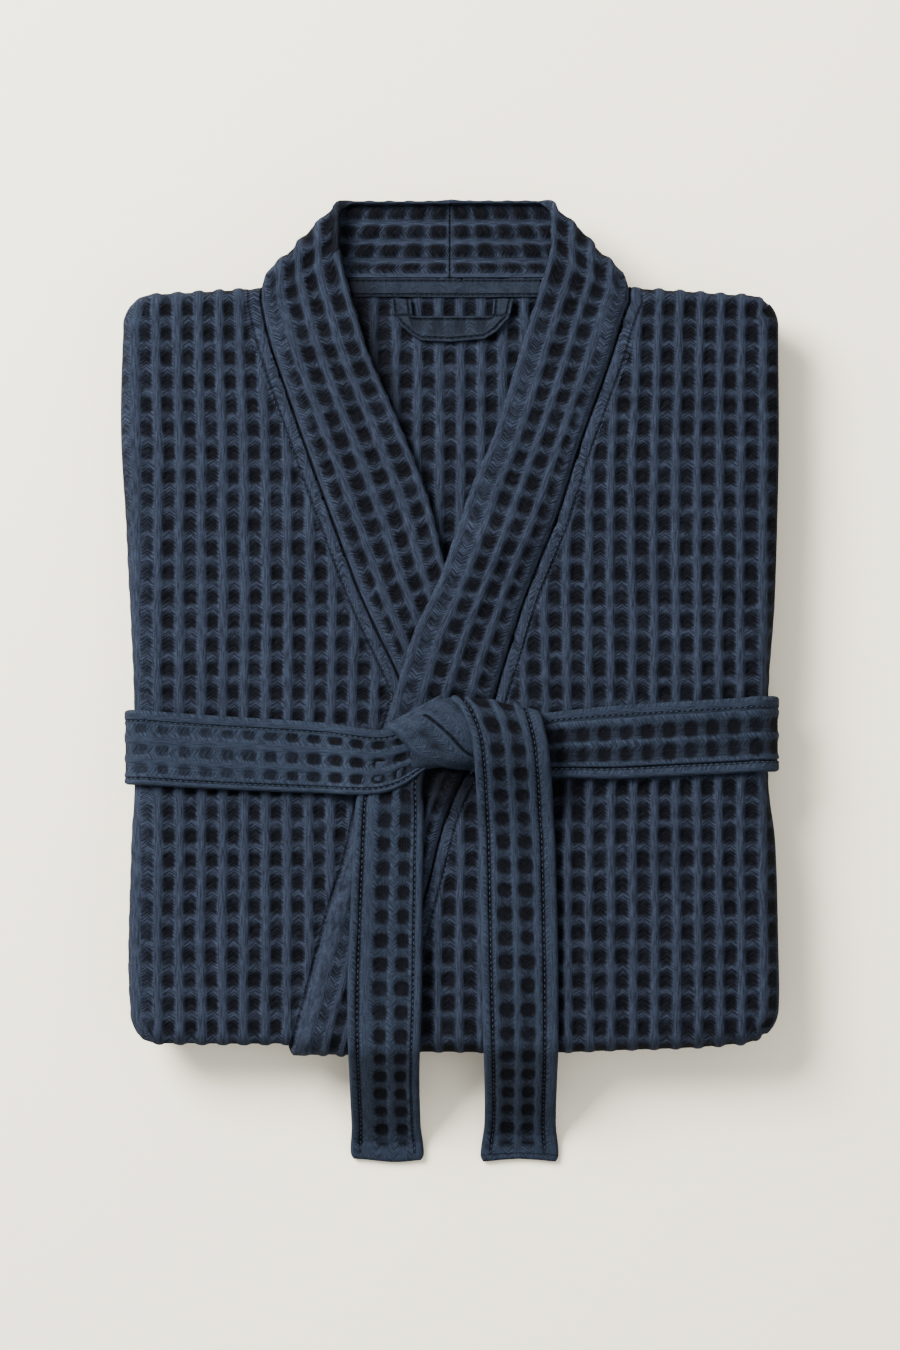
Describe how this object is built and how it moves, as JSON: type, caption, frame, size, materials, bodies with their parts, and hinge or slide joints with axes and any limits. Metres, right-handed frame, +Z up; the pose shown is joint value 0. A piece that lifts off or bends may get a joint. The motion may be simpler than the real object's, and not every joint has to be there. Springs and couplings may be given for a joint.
{
  "type": "folded kimono bathrobe",
  "caption": "Waffle-weave cotton kimono bathrobe, folded flat with its crossed collar bands up and its self belt tied round it in a half knot.",
  "frame": {"origin": "middle of the footprint, on the surface that the folded robe rests on", "axes": "+X towards the wearer's left, +Y from the hem fold to the collar, +Z up, out of the front"},
  "size_m": [0.3666, 0.5376, 0.0594],
  "materials": {
    "waffle_cotton": "navy cotton waffle weave, matt, deep square cells between soft raised ridges",
    "belt_cotton": "the same navy waffle cotton pressed into a flat stitched belt with shallow cells",
    "cotton_tape": "navy cotton neck tape, plain weave, edge stitched",
    "cotton_loop": "navy cotton hanger loop, folded and edge stitched"
  },
  "bodies": {
    "root": {"folded_layers": "waffle_cotton", "front_right": "waffle_cotton", "front_left": "waffle_cotton", "back": "waffle_cotton", "collar_right": "waffle_cotton", "collar_left": "waffle_cotton", "neck_tape": "cotton_tape", "hanger_loop": "cotton_loop", "belt_left": "belt_cotton", "belt_right": "belt_cotton", "belt_under": "belt_cotton", "belt_knot": "belt_cotton", "belt_tail_left": "belt_cotton", "belt_tail_right": "belt_cotton"}
  },
  "joints": []
}
